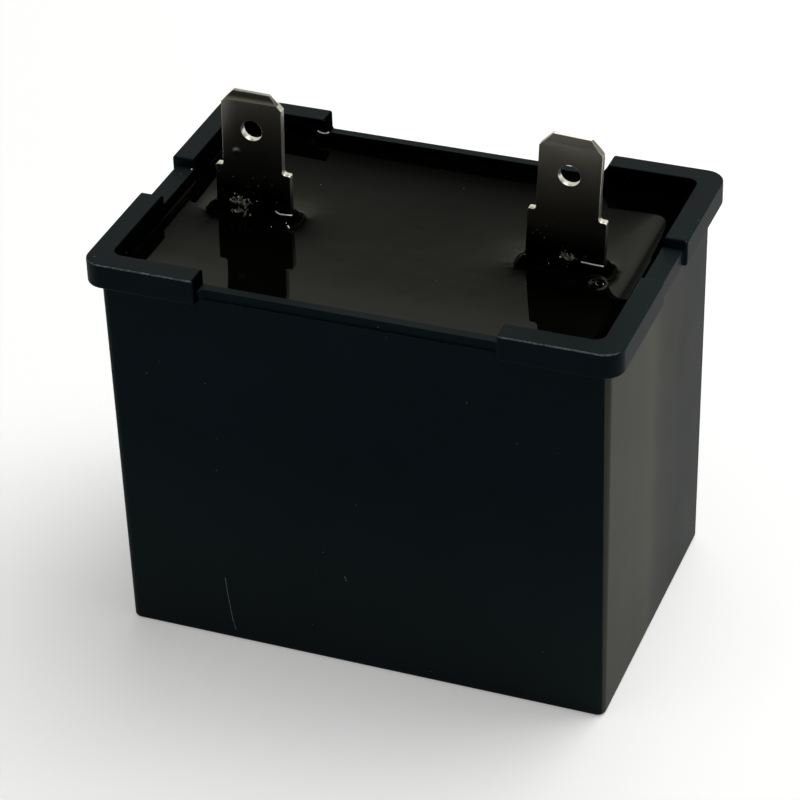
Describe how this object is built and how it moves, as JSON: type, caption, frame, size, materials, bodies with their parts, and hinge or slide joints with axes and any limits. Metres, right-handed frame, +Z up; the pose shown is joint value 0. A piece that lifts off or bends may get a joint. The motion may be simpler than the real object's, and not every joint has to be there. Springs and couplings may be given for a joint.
{
  "type": "motor run capacitor",
  "caption": "Boxed film capacitor for running a motor: black moulded case, open at the top and filled with glossy resin, with push-on tabs standing out of it.",
  "frame": {"origin": "middle of the case's underside, which is the plane that it stands on", "axes": "+X along the case's long side, from the left tab to the right one; +Y from the front long side to the back one; +Z up, towards the tabs"},
  "size_m": [0.054, 0.036, 0.0551],
  "materials": {
    "case_plastic": "black moulded PBT with a fine spark-eroded texture",
    "resin": "dark brown-black casting resin, poured, mirror gloss",
    "tinned_brass": "tin plated sheet, brushed and a little dulled",
    "metallised_film": "wound metallised polypropylene film",
    "sprayed_zinc": "rough flame-sprayed zinc",
    "tinned_wire": "tinned copper wire",
    "solder": "smooth bright solder"
  },
  "bodies": {
    "root": {"case": "case_plastic", "potting_resin": "resin", "terminal_left": "tinned_brass", "terminal_right": "tinned_brass", "film_winding": "metallised_film", "end_spray_left": "sprayed_zinc", "end_spray_right": "sprayed_zinc", "lead_left": "tinned_wire", "lead_right": "tinned_wire", "terminal_solder_left": "solder", "terminal_solder_right": "solder", "spray_solder_left": "solder", "spray_solder_right": "solder"}
  },
  "joints": []
}
